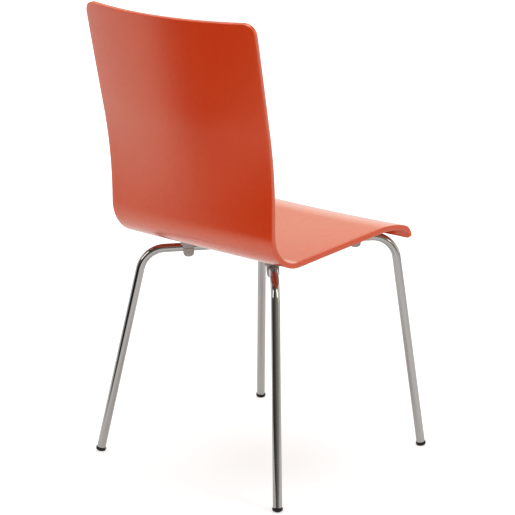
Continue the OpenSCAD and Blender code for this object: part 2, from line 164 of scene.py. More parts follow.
def shell_rows():
    """Places along the sheet for its rows of points, closest in its bends and corners."""
    marks = [LIP_S + LIP_CORNER_R, -FLAT_FRONT[0] - FRONT_ROLL[0], -FLAT_FRONT[0], 0]
    for length, turn in REAR_RUNS:
        marks.append(marks[-1] + length)
    marks[-1] = TOP_S - TOP_CORNER_R
    rows = [LIP_S + EASED_R + mark for mark in corner_marks(LIP_CORNER_R, LIP_CORNER_ROWS)]
    for low, high, parts in zip(marks, marks[1:], RUN_ROWS):
        rows += [low + (high - low) * k / parts for k in range(parts)]
    return rows + [TOP_S - EASED_R - mark
                   for mark in reversed(corner_marks(TOP_CORNER_R, TOP_CORNER_ROWS))]


def side_way(s, side):
    """Which way the sheet's side edge faces at s: along the sheet, and across it."""
    step = 1e-6
    slope = (flat_half_w(s + step) - flat_half_w(s - step)) / (2 * step)
    size = math.hypot(slope, 1)
    return (-slope / size, side / size)


def edge_rings():
    """How far out and how deep each ring of points round the eased edge lies."""
    rings = []
    for k in range(1, EASED_STEPS + 1):
        angle = math.radians(90 * k / EASED_STEPS)
        rings.append((EASED_R * math.sin(angle), EASED_R * (1 - math.cos(angle))))
    lower = [(out, SHELL_THICK - depth) for out, depth in reversed(rings)]
    return [*rings, (EASED_R, SHELL_THICK / 2), *lower]


def face_out(mesh):
    """Turns every face of a closed mesh outwards and shades it smooth."""
    work = bmesh.new()
    work.from_mesh(mesh)
    bmesh.ops.recalc_face_normals(work, faces=work.faces)
    work.to_mesh(mesh)
    work.free()
    mesh.shade_smooth()


def shell_mesh():
    rows, columns = shell_rows(), SHELL_COLUMNS
    last = len(rows) - 1
    flat = [[(s, flat_half_w(s) * (2 * j / columns - 1)) for j in range(columns + 1)] for s in rows]
    border = [(0, j) for j in range(columns + 1)]
    border += [(i, columns) for i in range(1, last)]
    border += [(last, j) for j in range(columns, -1, -1)]
    border += [(i, 0) for i in range(last - 1, 0, -1)]
    ways = [(1 if i else -1, 0) if i in (0, last) else side_way(rows[i], 1 if j else -1)
            for i, j in border]
    verts, uvs, sawn = [], [], []

    def add(s, x, depth, uv, edge):
        verts.append(shell_point(s, x, depth))
        uvs.append(uv)
        sawn.append(edge)
        return len(verts) - 1

    top = [[add(s, x, 0, (x, s), 0.0) for s, x in row] for row in flat]
    under = [[add(s, x, SHELL_THICK, (x, s), 0.0) for s, x in row] for row in flat]
    loops = [[top[i][j] for i, j in border]]
    for out, depth in edge_rings():
        edge = 1.0 if out > SAWN_FROM * EASED_R else out / EASED_R
        loop = []
        for (i, j), (way_s, way_x) in zip(border, ways):
            s, x = flat[i][j]
            loop.append(add(s + way_s * out, x + way_x * out, depth, (s + x, depth), edge))
        loops.append(loop)
    loops.append([under[i][j] for i, j in border])

    faces = []
    for i in range(last):
        for j in range(columns):
            faces.append((top[i][j], top[i + 1][j], top[i + 1][j + 1], top[i][j + 1]))
            faces.append((under[i][j], under[i][j + 1], under[i + 1][j + 1], under[i + 1][j]))
    for upper, lower in zip(loops, loops[1:]):
        for k in range(len(border)):
            after = (k + 1) % len(border)
            faces.append((upper[k], upper[after], lower[after], lower[k]))

    mesh = bpy.data.meshes.new("plywood_shell")
    mesh.from_pydata(verts, [], faces)
    mesh.uv_layers.new(name="along_sheet")
    layer = mesh.uv_layers["along_sheet"].data
    for loop in mesh.loops:
        layer[loop.index].uv = uvs[loop.vertex_index]
    mesh.attributes.new("sawn_edge", "FLOAT", "POINT").data.foreach_set("value", sawn)
    face_out(mesh)
    return mesh


def in_scene(name, data):
    """A new object of a mesh, lamp or camera, put in the scene."""
    thing = bpy.data.objects.new(name, data)
    bpy.context.scene.collection.objects.link(thing)
    return thing


def as_piece(name, mesh, finish):
    """A piece of the scene, with one finish all over."""
    piece = in_scene(name, mesh)
    mesh.materials.clear()
    mesh.materials.append(finish)
    return piece


def new_finish(name):
    """A new material, its node tree and its Principled shader."""
    finish = bpy.data.materials.new(name)
    finish.use_nodes = True
    return finish, finish.node_tree, finish.node_tree.nodes["Principled BSDF"]


def fill(tree, node, inputs):
    """Links other nodes' outputs to a node's inputs, or sets plain values on them."""
    for name, value in inputs.items():
        if isinstance(value, bpy.types.NodeSocket):
            tree.links.new(value, node.inputs[name])
        else:
            node.inputs[name].default_value = value


def add_node(tree, kind, inputs, **settings):
    """A new node with the given settings, and its inputs linked or set."""
    node = tree.nodes.new(kind)
    for name, setting in settings.items():
        setattr(node, name, setting)
    fill(tree, node, inputs)
    return node


def maths(tree, operation, *values):
    """The result of a Math node over numbers and other nodes' outputs."""
    node = add_node(tree, "ShaderNodeMath", dict(enumerate(values)), operation=operation)
    return node.outputs["Value"]


def mixed(tree, factor, first, second, data_type="RGBA", blend_type="MIX"):
    """The result of a Mix node over two colours or two numbers."""
    node = add_node(tree, "ShaderNodeMix", {"Factor": factor, "A": first, "B": second},
                    data_type=data_type, blend_type=blend_type)
    return node.outputs["Result"]


def surface_tone_group():
    """Fine uneven tone, gloss and height, which every finish of the chair has to some degree."""
    group = bpy.data.node_groups.new("surface_tone", "ShaderNodeTree")
    face = group.interface
    for name, value in (("Patch Scale", 12.0), ("Fleck Scale", 900.0), ("Tone Spread", 0.05),
                        ("Gloss Level", 0.3), ("Gloss Spread", 0.05)):
        face.new_socket(name, in_out="INPUT", socket_type="NodeSocketFloat").default_value = value
    for name in ("Tone", "Roughness", "Height"):
        face.new_socket(name, in_out="OUTPUT", socket_type="NodeSocketFloat")
    given = group.nodes.new("NodeGroupInput").outputs
    place = group.nodes.new("ShaderNodeTexCoord").outputs["Object"]
    patch = add_node(group, "ShaderNodeTexNoise",
                     {"Vector": place, "Scale": given["Patch Scale"], "Detail": 3})
    fleck = add_node(group, "ShaderNodeTexNoise",
                     {"Vector": place, "Scale": given["Fleck Scale"], "Detail": 2})
    swing = maths(group, "SUBTRACT", patch.outputs["Fac"], 0.5)
    fine = maths(group, "SUBTRACT", fleck.outputs["Fac"], 0.5)
    both = maths(group, "MULTIPLY_ADD", fine, 0.5, swing)
    gloss = maths(group, "MULTIPLY_ADD", both, given["Gloss Spread"], given["Gloss Level"])
    add_node(group, "NodeGroupOutput",
             {"Tone": maths(group, "MULTIPLY_ADD", both, given["Tone Spread"], 1.0),
              "Roughness": gloss, "Height": fleck.outputs["Fac"]})
    return group


SURFACE_TONE = surface_tone_group()


def toned(tree, shader, colour, patch, fleck, tone, gloss, spread, height):
    """Gives a finish an uneven surface, and returns its colour, roughness and normal."""
    uneven = add_node(tree, "ShaderNodeGroup",
                      {"Patch Scale": patch, "Fleck Scale": fleck, "Tone Spread": tone,
                       "Gloss Level": gloss, "Gloss Spread": spread},
                      node_tree=SURFACE_TONE).outputs
    tinted = mixed(tree, 1, (*colour, 1), uneven["Tone"], blend_type="MULTIPLY")
    bump = add_node(tree, "ShaderNodeBump",
                    {"Strength": 1, "Distance": height, "Height": uneven["Height"]})
    fill(tree, shader, {"Base Color": tinted, "Roughness": uneven["Roughness"],
                        "Normal": bump.outputs["Normal"]})
    return tinted, uneven["Roughness"], bump.outputs["Normal"]


GRAIN_ACROSS, GRAIN_ALONG, GRAIN_DETAIL = 1400, 45, 4
PLIES, PATTERN_RELIEF = 7, 0.00002
STAIN_LOW, STAIN_SPREAD, SAWN_DULLER = 0.965, 0.07, 0.06


def orange_lacquer():
    """Lacquer on beech, with a trace of its grain on the faces and of its plies on the edges."""
    finish, tree, shader = new_finish("orange_lacquer")
    colour, gloss, normal = toned(tree, shader, colour=(0.58, 0.0365, 0.004), patch=9, fleck=1400,
                                  tone=0.06, gloss=0.27, spread=0.05, height=0.00002)
    sheet = add_node(tree, "ShaderNodeUVMap", {}, uv_map="along_sheet").outputs["UV"]
    stretch = add_node(tree, "ShaderNodeMapping",
                       {"Vector": sheet, "Scale": (GRAIN_ACROSS, GRAIN_ALONG, 1)})
    grain = add_node(tree, "ShaderNodeTexNoise",
                     {"Vector": stretch.outputs["Vector"], "Scale": 1, "Detail": GRAIN_DETAIL})
    depth = add_node(tree, "ShaderNodeSeparateXYZ", {"Vector": sheet}).outputs["Y"]
    turn = maths(tree, "MULTIPLY", depth, math.pi * PLIES / SHELL_THICK)
    plies = maths(tree, "MULTIPLY_ADD", maths(tree, "SINE", turn), 0.5, 0.5)
    sawn = add_node(tree, "ShaderNodeAttribute", {}, attribute_name="sawn_edge").outputs["Fac"]
    pattern = mixed(tree, sawn, grain.outputs["Fac"], plies, data_type="FLOAT")
    stain = maths(tree, "MULTIPLY_ADD", pattern, STAIN_SPREAD, STAIN_LOW)
    relief = add_node(tree, "ShaderNodeBump",
                      {"Strength": 1, "Distance": PATTERN_RELIEF, "Height": pattern,
                       "Normal": normal})
    fill(tree, shader, {"Base Color": mixed(tree, 1, colour, stain, blend_type="MULTIPLY"),
                        "Roughness": maths(tree, "MULTIPLY_ADD", sawn, SAWN_DULLER, gloss),
                        "Normal": relief.outputs["Normal"],
                        "IOR": 1.5, "Specular IOR Level": 0.68,
                        "Specular Tint": (1, 0.88, 0.4, 1),
                        "Coat Weight": 0.75, "Coat IOR": 1.5, "Coat Roughness": 0.21})
    return finish


shell = as_piece("plywood_shell", shell_mesh(), orange_lacquer())
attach(shell, "root")
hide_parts("seat_shell")


# ---- Leg frame ----
# Two runs of steel tube cross under the seat. The one from rear left to front right is a single
# bent tube, and the other is two tubes coped against its sides. All are chromed after welding.

TUBE_R, TUBE_WALL = 0.008, 0.0015
CROSSING = Vector((0, CROSSING_Y, 0.398))
RUN_SLOPE = math.radians(2.6)
LEFT, RIGHT, REAR, FRONT = 1, -1, 1, -1
REAR_LEFT, REAR_RIGHT = (LEFT, REAR), (RIGHT, REAR)
FRONT_LEFT, FRONT_RIGHT = (LEFT, FRONT), (RIGHT, FRONT)
CORNERS = {"rear_left": REAR_LEFT, "rear_right": REAR_RIGHT,
           "front_left": FRONT_LEFT, "front_right": FRONT_RIGHT}
RUN_LEN = {REAR: 0.226, FRONT: 0.229}
LEG_SPLAY = {REAR: math.radians(12.7), FRONT: math.radians(8.2)}
BEND_R = {REAR: 0.048, FRONT: 0.045}
GLIDE_H = 0.0072
TUBE_SIDES, BEND_STEPS = 64, 28
COPE_END = 0.0015


def run_way(corner):
    """The direction of an under-seat run, from the crossing out to a corner."""
    side, end = corner
    level = math.cos(RUN_SLOPE) / math.sqrt(2)
    return Vector((side * level, end * level, -end * math.sin(RUN_SLOPE)))


def leg_way(corner):
    """The direction of a leg, from its foot up."""
    side, end = corner
    out = math.sin(LEG_SPLAY[end]) / math.sqrt(2)
    return Vector((-side * out, -end * out, math.cos(LEG_SPLAY[end])))


def knee(corner):
    """Where the lines of a run and its leg meet, which is outside the bend."""
    return CROSSING + RUN_LEN[corner[1]] * run_way(corner)


def foot(corner):
    top, way = knee(corner), leg_way(corner)
    return top - way * (top.z / way.z)


def leg_tip(corner):
    return foot(corner) + GLIDE_H * leg_way(corner)


def new_shape_tree(name, inputs, shape):
    """A new geometry tree with the named inputs and one shape out, and those inputs."""
    tree = bpy.data.node_groups.new(name, "GeometryNodeTree")
    for input_name, kind in inputs.items():
        tree.interface.new_socket(input_name, in_out="INPUT", socket_type="NodeSocket" + kind)
    tree.interface.new_socket(shape, in_out="OUTPUT", socket_type="NodeSocketGeometry")
    return tree, tree.nodes.new("NodeGroupInput").outputs


def end_shape_tree(tree, geometry, finish, shape):
    """Makes a tree's geometry real, gives it its finish and puts it out."""
    real = add_node(tree, "GeometryNodeRealizeInstances", {"Geometry": geometry})
    coat = add_node(tree, "GeometryNodeSetMaterial",
                    {"Geometry": real.outputs["Geometry"], "Material": finish})
    add_node(tree, "NodeGroupOutput", {shape: coat.outputs["Geometry"]})


def bent_tube_tree():
    """Sweeps a round tube along a line of straight runs, with a bend at each knee."""
    tree, given = new_shape_tree("bent_tube", {"Centre Line": "Geometry", "Tube Radius": "Float",
                                               "Sides": "Int", "Bend Steps": "Int",
                                               "Finish": "Material"}, "Tube")
    line = add_node(tree, "GeometryNodeMeshToCurve", {"Mesh": given["Centre Line"]})
    bend_r = add_node(tree, "GeometryNodeInputNamedAttribute", {"Name": "bend_radius"},
                      data_type="FLOAT")
    bend = add_node(tree, "GeometryNodeFilletCurve",
                    {"Curve": line.outputs["Curve"], "Radius": bend_r.outputs["Attribute"],
                     "Count": given["Bend Steps"]}, mode="POLY")
    ring = add_node(tree, "GeometryNodeCurvePrimitiveCircle",
                    {"Resolution": given["Sides"], "Radius": given["Tube Radius"]})
    sweep = add_node(tree, "GeometryNodeCurveToMesh",
                     {"Curve": bend.outputs["Curve"], "Profile Curve": ring.outputs["Curve"]})
    smooth = add_node(tree, "GeometryNodeSetShadeSmooth", {"Geometry": sweep.outputs["Mesh"]})
    end_shape_tree(tree, smooth.outputs["Geometry"], given["Finish"], "Tube")
    return tree


def give_inputs(modifier, values):
    """Sets a tree's named inputs by the identifiers of their sockets."""
    for item in modifier.node_group.interface.items_tree:
        if item.item_type == "SOCKET" and item.in_out == "INPUT" and item.name in values:
            modifier[item.identifier] = values[item.name]


def made_mesh(maker, name):
    """The mesh that an object's modifiers make of it. The object is then removed."""
    graph = bpy.context.evaluated_depsgraph_get()
    mesh = bpy.data.meshes.new_from_object(maker.evaluated_get(graph), depsgraph=graph)
    mesh.name = name
    bpy.data.objects.remove(maker)
    return mesh


def grown_mesh(name, start, tree, values):
    """The mesh that a geometry tree makes of a start mesh, with the given inputs."""
    maker = in_scene(name + "_maker", start)
    modifier = maker.modifiers.new(tree.name, "NODES")
    modifier.node_group = tree
    give_inputs(modifier, values)
    return made_mesh(maker, name)


def metal_finish(name, **look):
    """Bare or plated metal, with the surface tone that the look gives."""
    finish, tree, shader = new_finish(name)
    toned(tree, shader, **look)
    shader.inputs["Metallic"].default_value = 1
    return finish


BENT_TUBE = bent_tube_tree()
CHROME = metal_finish("bright_chrome", colour=(0.440, 0.430, 0.430), patch=30, fleck=2500,
                      tone=0.05, gloss=0.09, spread=0.06, height=0.000004)


def tube_mesh(name, points, bends):
    """A tube through the given points, with a bend of the given radius at each inner one."""
    line = bpy.data.meshes.new(name + "_line")
    line.from_pydata(points, [(k, k + 1) for k in range(len(points) - 1)], [])
    radii = line.attributes.new("bend_radius", "FLOAT", "POINT")
    radii.data.foreach_set("value", [0.0, *bends, 0.0])
    return grown_mesh(name, line, BENT_TUBE, {"Tube Radius": TUBE_R, "Sides": TUBE_SIDES,
                                              "Bend Steps": BEND_STEPS, "Finish": CHROME})


def shade_to(mesh, degrees):
    """Shades a mesh smooth, and keeps the edges that turn by more than this sharp."""
    mesh.shade_smooth()
    mesh.set_sharp_from_angle(angle=math.radians(degrees))


def give_wall(mesh, name):
    """Makes a swept skin into a tube with its own wall, open at both ends."""
    maker = in_scene(name, mesh)
    wall = maker.modifiers.new("wall", "SOLIDIFY")
    wall.thickness = TUBE_WALL
    wall.offset = -1
    wall.use_even_offset = True
    tube = made_mesh(maker, name)
    shade_to(tube, 50)
    return tube


def cope(mesh, corner):
    """Cuts an arm's inner end to the side of the long tube that it is welded to."""
    way, long_way = run_way(corner), run_way(REAR_LEFT)
    up = long_way.cross(way).normalized()
    if up.z < 0:
        up.negate()
    side = up.cross(way)
    across = (long_way - way * long_way.dot(way)).length
    lean = long_way.dot(way) / across * (1 if long_way.dot(side) > 0 else -1)
    for vert in mesh.vertices:
        away = vert.co - CROSSING
        if away.dot(way) < 2 * TUBE_R:
            y, z = away.dot(side), away.dot(up)
            out = math.sqrt(max(TUBE_R**2 - z**2, 0)) / across + y * lean
            vert.co = CROSSING + way * max(out, COPE_END) + side * y + up * z


def outward_skin(mesh, inside):
    """Turns a swept skin outwards, judged from a point on its centre line."""
    face = min(mesh.polygons, key=lambda f: (f.center - inside).length)
    if face.normal.dot(face.center - inside) < 0:
        mesh.flip_normals()


long_points = [leg_tip(REAR_LEFT), knee(REAR_LEFT), knee(FRONT_RIGHT), leg_tip(FRONT_RIGHT)]
long_skin = tube_mesh("long_leg_skin", long_points, [BEND_R[REAR], BEND_R[FRONT]])
outward_skin(long_skin, leg_tip(REAR_LEFT))
long_leg = as_piece("long_bent_leg", give_wall(long_skin, "long_bent_leg"), CHROME)
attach(long_leg, "root")
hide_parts("long_leg_tube")

for arm_name, node_name, corner in (("rear_right_bent_leg", "rear_right_leg_tube", REAR_RIGHT),
                                    ("front_left_bent_leg", "front_left_leg_tube", FRONT_LEFT)):
    start = CROSSING + run_way(corner) * TUBE_R
    arm_skin = tube_mesh(arm_name + "_skin", [start, knee(corner), leg_tip(corner)],
                         [BEND_R[corner[1]]])
    outward_skin(arm_skin, leg_tip(corner))
    cope(arm_skin, corner)
    arm = as_piece(arm_name, give_wall(arm_skin, arm_name), CHROME)
    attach(arm, "root")
    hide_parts(node_name)


# ---- Crossing weld ----
# A rippled bead of weld where each coped arm meets the long tube, over, under and down both
# sides. It is ground no further than the plating needs, and chromed with the frame.

DECK_TILT = math.atan(math.tan(RUN_SLOPE) * math.sqrt(2))
ARM_TURN = math.atan2(
    math.cos(RUN_SLOPE) / math.sqrt(2) * math.cos(DECK_TILT)
    + math.sin(RUN_SLOPE) * math.sin(DECK_TILT),
    math.cos(RUN_SLOPE) / math.sqrt(2))
BEAD_R, BEAD_SIDES, OVAL_STEPS = 0.0018, 10, 300
RIPPLES, RIPPLE_DEPTH, RIPPLE_MIDDLE = 34, 0.08, 0.92


def weld_tree():
    """Two upright ovals of weld bead that cross, rippled along their length."""
    tree, given = new_shape_tree("weld_bead", {"Side Reach": "Float", "Fore Reach": "Float",
                                               "Height": "Float", "Bead Radius": "Float",
                                               "Ripples": "Int", "Ripple Depth": "Float",
                                               "Finish": "Material"}, "Weld")
    ring = add_node(tree, "GeometryNodeCurvePrimitiveCircle",
                    {"Resolution": BEAD_SIDES, "Radius": given["Bead Radius"]})
    join = tree.nodes.new("GeometryNodeJoinGeometry")
    for reach, turn in (("Side Reach", 0), ("Fore Reach", math.pi / 2)):
        oval = add_node(tree, "GeometryNodeCurvePrimitiveCircle",
                        {"Resolution": OVAL_STEPS, "Radius": 1})
        size = add_node(tree, "ShaderNodeCombineXYZ",
                        {"X": given[reach], "Y": given["Height"], "Z": 1})
        shape = add_node(tree, "GeometryNodeTransform",
                         {"Geometry": oval.outputs["Curve"], "Scale": size.outputs["Vector"]})
        stand = add_node(tree, "GeometryNodeTransform",
                         {"Geometry": shape.outputs["Geometry"],
                          "Rotation": (math.pi / 2, 0, turn)})
        along = tree.nodes.new("GeometryNodeSplineParameter").outputs["Factor"]
        turns = maths(tree, "MULTIPLY", along, given["Ripples"])
        wave = maths(tree, "SINE", maths(tree, "MULTIPLY", turns, 2 * math.pi))
        swell = maths(tree, "MULTIPLY_ADD", wave, given["Ripple Depth"], RIPPLE_MIDDLE)
        sweep = add_node(tree, "GeometryNodeCurveToMesh",
                         {"Curve": stand.outputs["Geometry"], "Scale": swell,
                          "Profile Curve": ring.outputs["Curve"]})
        tree.links.new(sweep.outputs["Mesh"], join.inputs["Geometry"])
    end_shape_tree(tree, join.outputs["Geometry"], given["Finish"], "Weld")
    return tree


PLATED_WELD = metal_finish("plated_weld", colour=(0.42, 0.415, 0.40), patch=300, fleck=4000,
                           tone=0.12, gloss=0.24, spread=0.10, height=0.00003)
weld_mesh = grown_mesh("crossing_bead", bpy.data.meshes.new("weld_start"), weld_tree(), {
    "Side Reach": TUBE_R / math.sin(ARM_TURN), "Fore Reach": TUBE_R / math.cos(ARM_TURN),
    "Height": TUBE_R, "Bead Radius": BEAD_R, "Ripples": RIPPLES, "Ripple Depth": RIPPLE_DEPTH,
    "Finish": PLATED_WELD})
weld_mesh.transform(Matrix.Translation(CROSSING) @ Matrix.Rotation(-DECK_TILT, 4, "X"))
face_out(weld_mesh)
weld = as_piece("crossing_bead", weld_mesh, PLATED_WELD)
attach(weld, "root")
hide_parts("crossing_weld")


# ---- Spacers ----
# Four grey mouldings that sit over the tube and hold the shell off it. Each one's neck flares
# to a pad that follows the plywood above, and a screw through its middle clamps it.

STATION = {REAR: 0.146, FRONT: 0.158}
MOULDING_L, MOULDING_W = 0.020, 0.022
NECK_CORNER_R, MOULDED_EDGE, CORNER_STEPS = 0.0012, 0.0004, 5
FLARE_R, FLARE_LOW, FLARE_TURN, FLARE_STEPS = 0.0035, 0.004, 78, 7
PAD_EDGE, PAD_EDGE_TURNS = 1.4 * MOULDED_EDGE, (20, 50, 90)
PAD_RINGS = (1, 0.7, 0.4, 0.12)
SPLIT_GAP, SADDLE_R = 0.00015, 0.00815
SCREW_HOLE_R = 0.00275
SHELL_GAP = 0.0002
PAST_SIDE, PAST_SADDLE, PAST_PAD = 0.03, 0.01, 0.04
HOLE_SIDES, CHANNEL_SIDES = 48, 64


def station_frame(corner):
    """X along the tube, Z along the screw, and the origin on the tube's centre line."""
    side, end = corner
    place = CROSSING + STATION[end] * run_way(corner)
    return (Matrix.Translation(place) @ Matrix.Rotation(-DECK_TILT, 4, "X")
            @ Matrix.Rotation(side * end * ARM_TURN, 4, "Z"))


def rounded_ring(half_l, half_w, radius, z):
    """A level ring of points round an oblong with rounded corners."""
    radius = min(radius, half_l, half_w)
    ring = []
    for quarter, (a, b) in enumerate(((1, 1), (-1, 1), (-1, -1), (1, -1))):
        for k in range(CORNER_STEPS + 1):
            angle = math.radians(90 * (quarter + k / CORNER_STEPS))
            ring.append((a * (half_l - radius) + radius * math.cos(angle),
                         b * (half_w - radius) + radius * math.sin(angle), z))
    return ring


def round_ring(radius, z, sides, start=0.5):
    """A level ring of points round Z, from a part of a step past X."""
    turns = [2 * math.pi * (k + start) / sides for k in range(sides)]
    return [(radius * math.cos(turn), radius * math.sin(turn), z) for turn in turns]


def lofted(name, levels):
    """A closed moulding through rings of points, each with as many points as the others."""
    count = len(levels[0])
    verts = [point for ring in levels for point in ring]
    faces = [tuple(range(count - 1, -1, -1)),
             tuple(range((len(levels) - 1) * count, len(levels) * count))]
    for i in range(len(levels) - 1):
        for j in range(count):
            after = (j + 1) % count
            faces.append((i * count + j, i * count + after,
                          (i + 1) * count + after, (i + 1) * count + j))
    mesh = bpy.data.meshes.new(name)
    mesh.from_pydata(verts, [], faces)
    face_out(mesh)
    return mesh


def round_bar(radius, low, high, sides=HOLE_SIDES):
    """A cutter along Z. Its corners keep clear of the other cutters' edges."""
    return lofted("cutter", [round_ring(radius, low, sides), round_ring(radius, high, sides)])


def tube_channel():
    bar = round_bar(SADDLE_R, -PAST_SIDE, PAST_SIDE, CHANNEL_SIDES)
    bar.transform(Matrix.Rotation(math.pi / 2, 4, "Y"))
    return bar


def cut_from(mesh, name, cutters):
    """The moulding, made of flat triangles, with its channel and holes cut out of it."""
    flat = bmesh.new()
    flat.from_mesh(mesh)
    bmesh.ops.triangulate(flat, faces=flat.faces)
    flat.to_mesh(mesh)
    flat.free()
    body = in_scene(name, mesh)
    tools = [in_scene(cutter.name, cutter) for cutter in cutters]
    for tool in tools:
        cut = body.modifiers.new("cut", "BOOLEAN")
        cut.operation = "DIFFERENCE"
        cut.solver = "EXACT"
        cut.object = tool
    result = made_mesh(body, name)
    for tool in tools:
        bpy.data.objects.remove(tool)
    shade_to(result, 38)
    return result


def moulded_finish(name, ior, **look):
    """Moulded plastic, with the surface tone that the look gives."""
    finish, tree, shader = new_finish(name)
    toned(tree, shader, **look)
    shader.inputs["IOR"].default_value = ior
    return finish


shell_work = bmesh.new()
shell_work.from_mesh(shell.data)
SHELL_SKIN = BVHTree.FromBMesh(shell_work)
shell_work.free()
GREY_MOULDING = moulded_finish("grey_moulding", ior=1.49, colour=(0.30, 0.275, 0.262), patch=120,
                               fleck=3500, tone=0.10, gloss=0.48, spread=0.12, height=0.00004)


def under_shell(frame_there, x, y, low):
    """How high the underside of the plywood is over a point of a station's frame."""
    start = frame_there @ Vector((x, y, low))
    up = frame_there.to_3x3() @ Vector((0, 0, 1))
    reach = SHELL_SKIN.ray_cast(start, up)[3]
    return low + reach - SHELL_GAP


def neck_ring(out, z):
    """A ring round the spacer, out beyond its neck."""
    return rounded_ring(MOULDING_L / 2 + out, MOULDING_W / 2 + out, NECK_CORNER_R + out, z)


def spacer_mesh(name, corner):
    there = station_frame(corner)
    pad_low = FLARE_LOW + FLARE_R
    levels = [neck_ring(-MOULDED_EDGE, SPLIT_GAP), neck_ring(0, SPLIT_GAP + MOULDED_EDGE),
              neck_ring(0, FLARE_LOW)]
    for k in range(1, FLARE_STEPS + 1):
        angle = math.radians(FLARE_TURN * k / FLARE_STEPS)
        levels.append(neck_ring(FLARE_R * (1 - math.cos(angle)),
                                FLARE_LOW + FLARE_R * math.sin(angle)))
    for angle in map(math.radians, PAD_EDGE_TURNS):
        levels.append(neck_ring(FLARE_R - PAD_EDGE * (1 - math.sin(angle)),
                                pad_low + PAD_EDGE * (1 - math.cos(angle))))
    for share in PAD_RINGS:
        levels.append([(x * share, y * share, under_shell(there, x * share, y * share, pad_low))
                       for x, y, z in neck_ring(FLARE_R, pad_low)])
    mesh = cut_from(lofted(name, levels), name,
                    [tube_channel(), round_bar(SCREW_HOLE_R, -PAST_SADDLE, PAST_PAD)])
    mesh.transform(there)
    return mesh


for place, corner in CORNERS.items():
    spacer_name = f"grey_spacer_{place}"
    spacer = as_piece(spacer_name, spacer_mesh(spacer_name, corner), GREY_MOULDING)
    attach(spacer, "root")
    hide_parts(f"spacer_{place}")


# ---- Stacking buffers ----
# Four grey caps under the tube, which rest on the chair below in a stack. Their lower edges are
# well rounded, and a recess under each keeps the screw's head clear of that chair.

BUFFER_DEPTH, BUFFER_END_R, BUFFER_SIDE_R, BUFFER_CORNER_R = 0.018, 0.0095, 0.008, 0.003
BUFFER_STEPS, MOST_ROUND = 13, 0.98
SCREW_SEAT, RECESS_R = 0.0126, 0.005
PAST_BUFFER = 0.03


def rounded_half(half, radius, up):
    """Half the buffer's length or width, at a height above its rounded lower end."""
    return half - radius + math.sqrt(max(0, radius * radius - max(0, radius - up)**2))


def buffer_mesh(name, corner):
    half_l, half_w = MOULDING_L / 2, MOULDING_W / 2
    levels = []
    for k in range(BUFFER_STEPS + 1):
        up = BUFFER_END_R * (1 - math.cos(math.radians(90 * k / BUFFER_STEPS)))
        halves = (rounded_half(half_l, BUFFER_END_R, up), rounded_half(half_w, BUFFER_SIDE_R, up))
        corner_r = min(BUFFER_CORNER_R, MOST_ROUND * min(halves))
        levels.append(rounded_ring(*halves, corner_r, up - BUFFER_DEPTH))
    levels.append(rounded_ring(half_l, half_w, BUFFER_CORNER_R, -SPLIT_GAP - MOULDED_EDGE))
    levels.append(rounded_ring(half_l - MOULDED_EDGE, half_w - MOULDED_EDGE, BUFFER_CORNER_R,
                               -SPLIT_GAP))
    mesh = cut_from(lofted(name, levels), name,
                    [tube_channel(), round_bar(SCREW_HOLE_R, -PAST_BUFFER, PAST_SADDLE),
                     round_bar(RECESS_R, -PAST_BUFFER, -SCREW_SEAT)])
    mesh.transform(station_frame(corner))
    return mesh


for place, corner in CORNERS.items():
    buffer_name = f"grey_buffer_{place}"
    buffer = as_piece(buffer_name, buffer_mesh(buffer_name, corner), GREY_MOULDING)
    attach(buffer, "root")
    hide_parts(f"stacking_buffer_{place}")


# ---- Screws and inserts ----
# A zinc-plated button-head screw with a hexagon socket comes up through each buffer, the tube
# and the spacer, and bites in a brass insert that is pressed into the plywood.

HEAD_R, FACE_R, HEAD_RIM_H, HEAD_H = 0.00475, 0.00285, 0.0011, 0.0027
HEAD_EDGE, DOME_STEPS = 0.0001, 8
SHANK_R, SHANK_H, NECK_FILLET = 0.0024, 0.034, 0.0002
POINT_SHARE, POINT_H = 0.6, 0.001
SOCKET_R, SOCKET_H, SOCKET_RIM, SOCKET_EDGE = 0.00175, 0.0019, 0.0002, 0.0001
SOCKET_TIP_R, SOCKET_TIP_H = 0.0002, 0.0004
SCREW_SIDES = 48


def screw_ring(radius, z):
    return round_ring(radius, z, SCREW_SIDES, start=0)


def socket_ring(z):
    """A level ring of points round the hexagon of the socket."""
    sixth = math.pi / 3
    points = []
    for k in range(SCREW_SIDES):
        angle = 2 * math.pi * k / SCREW_SIDES
        off = (angle + sixth / 2) % sixth - sixth / 2
        reach = SOCKET_R * math.cos(sixth / 2) / math.cos(off)
        points.append((reach * math.cos(angle), reach * math.sin(angle), z))
    return points


def screw_mesh():
    """One screw, with its seat at z = 0 and its head below."""
    dome = []
    for k in range(DOME_STEPS + 1):
        turn = k / DOME_STEPS * math.pi / 2
        dome.append(screw_ring(HEAD_R + (FACE_R - HEAD_R) * (1 - math.cos(turn)),
                               -HEAD_RIM_H - (HEAD_H - HEAD_RIM_H) * math.sin(turn)))
    levels = [screw_ring(SHANK_R * POINT_SHARE, SHANK_H), screw_ring(SHANK_R, SHANK_H - POINT_H),
              screw_ring(SHANK_R, NECK_FILLET), screw_ring(SHANK_R + NECK_FILLET, 0),
              screw_ring(HEAD_R - HEAD_EDGE, 0), screw_ring(HEAD_R, -HEAD_EDGE), *dome,
              screw_ring(SOCKET_R + SOCKET_RIM, -HEAD_H), socket_ring(-HEAD_H + SOCKET_EDGE),
              socket_ring(-HEAD_H + SOCKET_H),
              screw_ring(SOCKET_TIP_R, -HEAD_H + SOCKET_H + SOCKET_TIP_H)]
    mesh = lofted("button_head_screw", levels)
    shade_to(mesh, 40)
    return mesh


